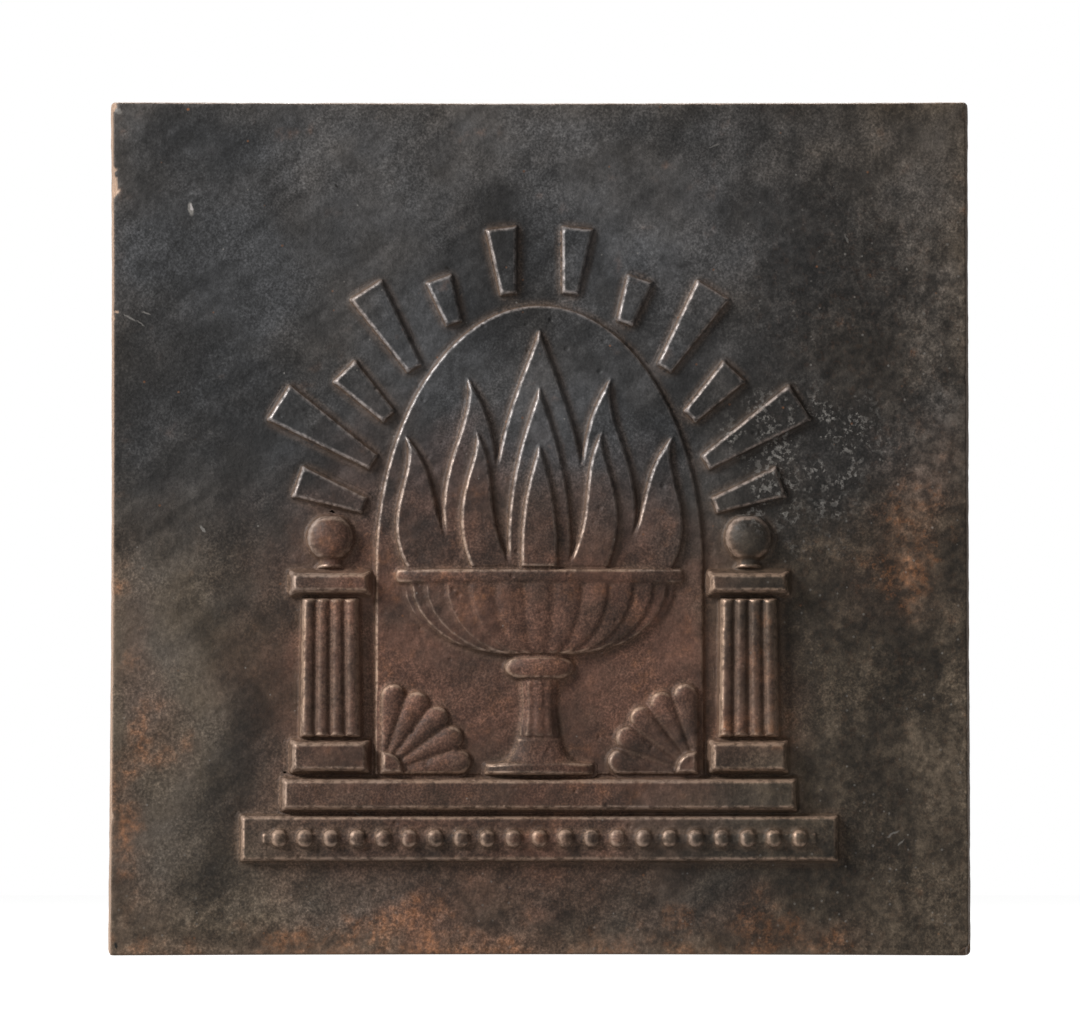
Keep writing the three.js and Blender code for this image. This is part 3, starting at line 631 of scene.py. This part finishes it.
class Shader:
    """Adds nodes to a material, and joins them."""

    def __init__(self, name):
        self.material = bpy.data.materials.new(name)
        self.material.use_nodes = True
        self.tree = self.material.node_tree
        self.bsdf = self.tree.nodes["Principled BSDF"]

    def node(self, kind, settings=None, **inputs):
        made = self.tree.nodes.new(kind)
        for key, value in (settings or {}).items():
            setattr(made, key, value)
        for key, value in inputs.items():
            self.set(made.inputs[key.replace("_", " ")], value)
        return made

    def set(self, socket, value):
        if isinstance(value, bpy.types.NodeSocket):
            self.tree.links.new(value, socket)
        else:
            socket.default_value = value

    def place(self):
        """Where the point is on the object, in metres."""
        where = self.tree.nodes.get("where")
        if where is None:
            where = self.node("ShaderNodeTexCoord")
            where.name = "where"
        return where.outputs["Object"]

    def vector(self, operation, a, b=None):
        made = self.node("ShaderNodeVectorMath", {"operation": operation})
        self.set(made.inputs[0], a)
        if b is not None:
            self.set(made.inputs["Scale"] if operation == "SCALE" else made.inputs[1], b)
        return made.outputs["Value"] if operation == "LENGTH" else made.outputs["Vector"]

    def noise(self, size, detail, roughness, offset, output="Fac"):
        """Noise with lumps of that size in metres, taken that far off so that no two noises are alike."""
        moved = self.vector("ADD", self.place(), (offset, offset, offset))
        numbers = {"Scale": 1 / size, "Detail": detail, "Roughness": roughness}
        made = self.node("ShaderNodeTexNoise", Vector=moved, **numbers)
        return made.outputs[output]

    def strayed(self, size, reach):
        """The point's place, moved by up to about that reach, so that a mark drawn there has ragged edges."""
        shift = self.vector("SUBTRACT", self.noise(size, 3, 0.6, 31, "Color"), (0.5, 0.5, 0.5))
        return self.vector("ADD", self.place(), self.vector("SCALE", shift, 2 * reach))

    def mark(self, place, x, z, length, width, turn):
        """1 in the middle of a turned oval on the plate and 0 outside it, fading from half its reach."""
        local = self.node("ShaderNodeMapping", {"vector_type": "TEXTURE"}, Vector=place)
        local.inputs["Location"].default_value = (x, 0, z)
        local.inputs["Rotation"].default_value = (0, math.radians(turn), 0)
        local.inputs["Scale"].default_value = (length / 2, THROUGH, width / 2)
        return self.ramp(self.vector("LENGTH", local.outputs[0]), 1.0, 0.5)

    def specks(self, spacing, share, radius, offset):
        """Small round specks: at most one in each cell of that spacing, in that share of the cells."""
        moved = self.vector("ADD", self.place(), (offset, offset, offset))
        cell = self.node("ShaderNodeTexVoronoi", Vector=moved, Scale=1 / spacing)
        luck = self.node("ShaderNodeSeparateColor", Color=cell.outputs["Color"]).outputs[0]
        chosen = self.math("LESS_THAN", luck, share)
        reach = radius / spacing
        return self.times(chosen, self.ramp(cell.outputs["Distance"], reach, 0.4 * reach))

    def math(self, operation, a, b=0.0):
        made = self.node("ShaderNodeMath", {"operation": operation})
        self.set(made.inputs[0], a)
        self.set(made.inputs[1], b)
        return made.outputs[0]

    def times(self, a, b):
        return self.math("MULTIPLY", a, b)

    def most(self, a, b):
        return self.math("MAXIMUM", a, b)

    def scaled(self, colour, share):
        """The colour, lighter or darker by that share of its own light."""
        return self.vector("SCALE", colour, share)

    def ramp(self, value, low, high, to_low=0.0, to_high=1.0):
        """Takes a value from low..high to to_low..to_high, held at both ends."""
        made = self.node(
            "ShaderNodeMapRange",
            {"interpolation_type": "SMOOTHSTEP"},
            Value=value,
            From_Min=low,
            From_Max=high,
            To_Min=to_low,
            To_Max=to_high,
        )
        return made.outputs[0]

    def mix(self, share, a, b):
        """The colour a where the share is 0, and b where it is 1."""
        made = self.node("ShaderNodeMix", {"data_type": "RGBA"})
        self.set(made.inputs["Factor"], share)
        self.set(made.inputs[6], a)
        self.set(made.inputs[7], b)
        return made.outputs[2]

    def attribute(self, name):
        return self.node("ShaderNodeAttribute", {"attribute_name": name}).outputs["Fac"]


# Marks on the face: x and z in mm from the plate's middle and foot, length, width, turn, colour and strength
MARKS = [
    (-242.7, 518.8, 12, 4.8, 80, CRUST, 0.8),
    (-242.2, 519.8, 7, 2.6, 75, BARE_COOL, 0.8),
    (-233.7, 295.6, 7, 3.0, 50, CRUST, 0.7),
    (-285.0, 443.0, 13, 1.8, 28, CRUST, 0.55),
    (-277.5, 439.0, 9, 1.5, 40, CRUST, 0.5),
    (-273.5, 446.0, 8, 1.8, 14, CRUST, 0.6),
    (-294.0, 447.0, 4, 2.6, 0, BARE, 0.7),
    (-64.4, 477.6, 4.5, 3.2, 20, BLACK, 1.0),
    (-141.3, 534.9, 4, 2.0, 60, BLACK, 0.9),
    (-293.0, 6.5, 5.5, 2.6, 85, BLACK, 1.0),
    (244.8, 84.0, 13, 2.0, -28, CRUST, 0.5),
    (250.5, 78.0, 8, 1.6, -40, CRUST, 0.45),
    (-245.0, 588.5, 3, 2.6, 0, RUST, 1.0),
    (-293.5, 587.0, 8, 5.0, 45, CRUST, 0.6),
    (214.0, 498.0, 9, 1.4, 65, CRUST, 0.4),
    (122.0, 563.0, 11, 1.4, -20, CRUST, 0.35),
    (-126.0, 98.0, 10, 1.5, 30, CRUST, 0.35),
]


class Iron(Shader):
    """Sooted, rusted, sand-cast iron. Its colours change over the plate as the fire left them, and its bare
    arrises, wall dust and pale plate edges carry painted light: lighter on what faces left, up or down than
    on what faces right.

    Sizes of noises and specks are in metres.
    """

    def __init__(self, name, wear):
        super().__init__(name)
        self.wear = wear
        self.flecks = self.noise(0.0046, 3, 0.6, 8)
        self.browned, self.tone, self.warm = (self.attribute(label) for label in ("browned", "tone", "warm"))
        self.rust, self.spotty = self.attribute("rust"), self.attribute("spotty")
        self.grainy, self.crusty = self.attribute("grainy"), self.attribute("crusty")
        normal = self.node("ShaderNodeNewGeometry").outputs["Normal"]
        across, back, up = self.node("ShaderNodeSeparateXYZ", Vector=normal).outputs
        self.wall = self.ramp(back, -0.90, -0.60)  # what doesn't face the front
        # Painted light: a share from the facing of each point, 1 on what faces left, up to 0.8 on what faces
        # up or down, about 0.4 on what faces the front and 0.25 on what faces right; what it weights is
        # painted lighter on the lit sides and darker on the shaded right.
        level = self.ramp(self.math("ABSOLUTE", up), 0.2, 0.6, 0.0, 0.8)
        self.painted_lit_side = self.most(level, self.ramp(across, 0.15, -0.45, 0.25, 1.0))  # all but what faces right

    def sooted(self):
        """Soot, cool and warm, the iron that the fire browned, and thin rust."""
        colour = self.mix(self.warm, SOOT, SOOT_WARM)
        colour = self.mix(self.browned, colour, BROWN)
        rusty = self.times(self.rust, self.ramp(self.flecks, 0.25, 0.75, 0.05, 0.65))
        colour = self.mix(rusty, colour, RUST)
        colour = self.scaled(colour, self.ramp(self.tone, 0.0, 1.0, 0.38, 1.74))
        return self.scaled(colour, self.ramp(self.flecks, 0.15, 0.85, 0.66, 1.36))

    def spotted(self, colour):
        """Dark and light lumps, flecks of rust and pale specks, where the iron is spotty."""
        lumps = self.ramp(self.noise(0.008, 4, 0.72, 61), 0.34, 0.66, -0.48, 0.44)
        colour = self.scaled(colour, self.math("ADD", self.times(self.spotty, lumps), 1.0))
        rusty = self.ramp(self.noise(0.0065, 3, 0.7, 64), 0.53, 0.64, 0.0, 0.42)
        rusty = self.times(self.times(self.spotty, rusty), self.ramp(self.rust, 0.0, 0.4, 0.12, 1.0))
        colour = self.mix(rusty, colour, RUST)
        pale = self.times(self.specks(0.0060, 0.30, 0.0012, 67), self.times(self.spotty, 0.38))
        return self.mix(pale, colour, CRUST)

    def dusted_and_lit(self, colour):
        """Dust in corners, and dust on walls and the lighter iron of the plate's edges, which are weighted by
        the lit-side share: painted light, lighter on what faces left, up or down and darker on what faces
        right.
        """
        corner = self.ramp(self.attribute("crevice"), 0.03, 1.1)
        # Painted light: the wall dust lies mostly on walls that face left, up or down.
        dust_and_lit_share = self.most(self.times(corner, 0.22), self.times(self.wall, self.times(self.painted_lit_side, 0.55)))
        colour = self.mix(self.times(dust_and_lit_share, self.ramp(self.flecks, 0.30, 0.50, 0.3, 1.0)), colour, OCHRE)
        # Painted highlight: the pale plate edges are mostly on sides that face left, up or down.
        return self.mix(self.times(self.times(self.attribute("rim"), self.painted_lit_side), 0.65), colour, BARE)

    def crusted(self, colour):
        """Crust as pale lace on a dark ground, with specks in it, and a few specks all over."""
        lace = self.ramp(self.noise(0.0038, 3, 0.65, 41), 0.50, 0.60)
        lace = self.times(self.times(lace, self.ramp(self.noise(0.014, 2, 0.5, 44), 0.40, 0.58)), self.crusty)
        colour = self.mix(self.times(self.crusty, 0.68), colour, BLACK)
        colour = self.mix(self.times(lace, 0.6), colour, CRUST)
        colour = self.mix(self.times(self.specks(0.0085, 0.14, 0.0009, 51), 0.45), colour, CRUST)
        among = self.times(self.specks(0.0042, 0.22, 0.0008, 57), self.times(self.crusty, 0.55))
        colour = self.mix(among, colour, CRUST)
        return self.mix(self.times(self.specks(0.012, 0.12, 0.0012, 54), 0.5), colour, RUST)

    def salted(self, colour):
        """Sand grain, each grain lighter or darker."""
        salt = self.math("SUBTRACT", self.ramp(self.noise(*GRAIN), 0.32, 0.88, 0.83, 1.78), 1.04)
        salt = self.times(salt, self.ramp(self.grainy, 0.0, 1.0, 0.5, 1.5))
        return self.scaled(colour, self.math("ADD", salt, 1.0))

    def marked(self, colour):
        """Scuffs, scratches and chips, one oval each."""
        place = self.strayed(0.003, 0.0012)
        for x, z, length, width, turn, tint, strength in MARKS:
            mark = self.mark(place, x * MM, z * MM, length * MM, width * MM, turn)
            colour = self.mix(self.times(mark, strength), colour, tint)
        return colour

    def wear_and_highlight(self):
        """How far each point is bared to the iron, which the arrises are, as wear and as a painted highlight:
        mostly on arrises that face left, up or down, faint on those that face right.
        """
        edge = self.ramp(self.attribute("arris"), 0.06, 0.34)
        patchy = self.times(edge, self.ramp(self.flecks, 0.36, 0.60, 0.25, 1.0))
        # Painted highlight: the lit-side share keeps the bare iron mostly to the lit sides.
        return self.times(patchy, self.times(self.painted_lit_side, self.wear))

    def grained(self):
        """Sand grain and small lumps as fine bumps."""
        grain = self.times(self.noise(*GRAIN), 0.26)
        rise = self.math("ADD", grain, self.times(self.noise(0.0055, 2, 0.6, 25), 0.6))
        return self.node("ShaderNodeBump", Height=rise, Strength=1.0, Distance=MM).outputs[0]


def cast_iron(name, wear):
    """The material of that name, with its arrises bared to the iron by up to the share of wear, mostly where
    they face left, up or down, as a painted highlight.
    """
    iron = Iron(name, wear)
    # Bare iron on the arrises, as wear and as a painted highlight on the lit sides.
    wear_and_highlight = iron.wear_and_highlight()
    colour = iron.marked(iron.salted(iron.crusted(iron.dusted_and_lit(iron.spotted(iron.sooted())))))
    bare = iron.mix(iron.most(iron.warm, iron.browned), BARE_COOL, BARE)
    rough = iron.math("ADD", iron.ramp(iron.flecks, 0.2, 0.8, 0.48, 0.64), iron.times(iron.grainy, 0.08))
    sockets = iron.bsdf.inputs
    iron.set(sockets["Base Color"], iron.mix(wear_and_highlight, colour, bare))
    iron.set(sockets["Roughness"], iron.math("SUBTRACT", rough, iron.times(wear_and_highlight, 0.2)))
    iron.set(sockets["Metallic"], iron.math("ADD", iron.times(wear_and_highlight, 0.6), 0.06))
    iron.set(sockets["Specular IOR Level"], 0.2)
    iron.set(sockets["Normal"], iron.grained())
    return iron.material


# -------------------------------------------------------------------------------------------- Studio


FLOOR_REACH = 9.0
FLOOR_COLOUR = (0.35, 0.35, 0.35, 1)
FLOOR_GLOW = 0.9  # how much brighter the camera sees it, so that it stays white around a shadow
AIR = 0.16  # the light from all round
WHITE = (1, 1, 1, 1)

# Each soft box: name, place, width and height, and watts
SOFTBOXES = [
    ("key_left", (-3.4, -2.1, 2.6), (1.5, 1.5), 300),
    ("fill_front", (0.6, -4.4, 2.2), (2.6, 2.0), 24),
    ("fill_back", (0.0, 4.0, 2.6), (2.6, 2.0), 110),
]
SOFTBOX_AIM = (0, 0, 0.30)


def studio():
    """A wide pale floor, open all round."""
    corners = [(x * FLOOR_REACH, y * FLOOR_REACH, 0) for x, y in ((-1, -1), (1, -1), (1, 1), (-1, 1))]
    mesh = bpy.data.meshes.new("studio_floor")
    mesh.from_pydata(corners, [], [(0, 1, 2, 3)])
    floor = bpy.data.objects.new("studio_floor", mesh)
    bpy.context.scene.collection.objects.link(floor)
    s = Shader("studio_paper")
    s.bsdf.inputs["Base Color"].default_value = FLOOR_COLOUR
    s.bsdf.inputs["Roughness"].default_value = 0.9
    s.bsdf.inputs["Emission Color"].default_value = WHITE
    path = s.node("ShaderNodeLightPath")
    seen = s.most(path.outputs["Is Camera Ray"], path.outputs["Is Glossy Ray"])
    s.set(s.bsdf.inputs["Emission Strength"], s.times(seen, FLOOR_GLOW))
    mesh.materials.append(s.material)


def softbox(name, place, size, watts):
    light = bpy.data.lights.new(name, "AREA")
    light.shape = "RECTANGLE"
    light.size, light.size_y = size
    light.energy = watts
    lamp = bpy.data.objects.new(name, light)
    lamp.location = place
    lamp.rotation_euler = (Vector(SOFTBOX_AIM) - Vector(place)).to_track_quat("-Z", "Y").to_euler()
    bpy.context.scene.collection.objects.link(lamp)


PICTURE = (1080, 1033)
PLATE_IN_PICTURE = 860.1  # the mean width of its outline in the picture's pixels
PLATE_CENTRE_IN_PICTURE = (539.3, 525.6)
CAMERA_DISTANCE = 4.5
CAMERA_PITCH = math.radians(3.0)  # looking up, which makes the foot of the plate a little wider
SENSOR = 36.0


def camera():
    span = PLATE_HIGH - PLATE_LOW
    middle = Vector((0, FACE_Y, span.z / 2))
    data = bpy.data.cameras.new("camera")
    data.sensor_width = SENSOR
    data.lens = SENSOR / PICTURE[0] * PLATE_IN_PICTURE * (CAMERA_DISTANCE + span.y) / span.x
    data.shift_x = (PICTURE[0] / 2 - PLATE_CENTRE_IN_PICTURE[0]) / PICTURE[0]
    data.shift_y = (PLATE_CENTRE_IN_PICTURE[1] - PICTURE[1] / 2) / PICTURE[0]
    eye = bpy.data.objects.new("camera", data)
    eye.location = middle + CAMERA_DISTANCE * Vector((0, -math.cos(CAMERA_PITCH), -math.sin(CAMERA_PITCH)))
    eye.rotation_euler = (middle - eye.location).to_track_quat("-Z", "Y").to_euler()
    bpy.context.scene.collection.objects.link(eye)
    bpy.context.scene.camera = eye


def air():
    """Light from all round, which is white where the camera looks into it."""
    world = bpy.data.worlds.new("studio_air")
    bpy.context.scene.world = world
    world.use_nodes = True
    tree = world.node_tree
    background = tree.nodes["Background"]
    background.inputs["Color"].default_value = WHITE
    path = tree.nodes.new("ShaderNodeLightPath")
    strength = tree.nodes.new("ShaderNodeMapRange")
    strength.inputs["To Min"].default_value = AIR
    tree.links.new(path.outputs["Is Camera Ray"], strength.inputs["Value"])
    tree.links.new(strength.outputs["Result"], background.inputs["Strength"])


# ------------------------------------------------------------------------------------------------ Scene

camera()
studio()
air()
for box in SOFTBOXES:
    softbox(*box)
bpy.context.scene.view_settings.view_transform = "Standard"

plate_iron = cast_iron("plate_iron", wear=0.15)
relief_iron = cast_iron("relief_iron", wear=0.75)

plate_skin = plate()
plate_skin.data.materials.append(plate_iron)
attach(plate_skin, "root")
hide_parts(PLATE)

for form in RELIEF:
    piece = skin(form)
    piece.data.materials.append(relief_iron)
    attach(piece, "root")
    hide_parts(form)
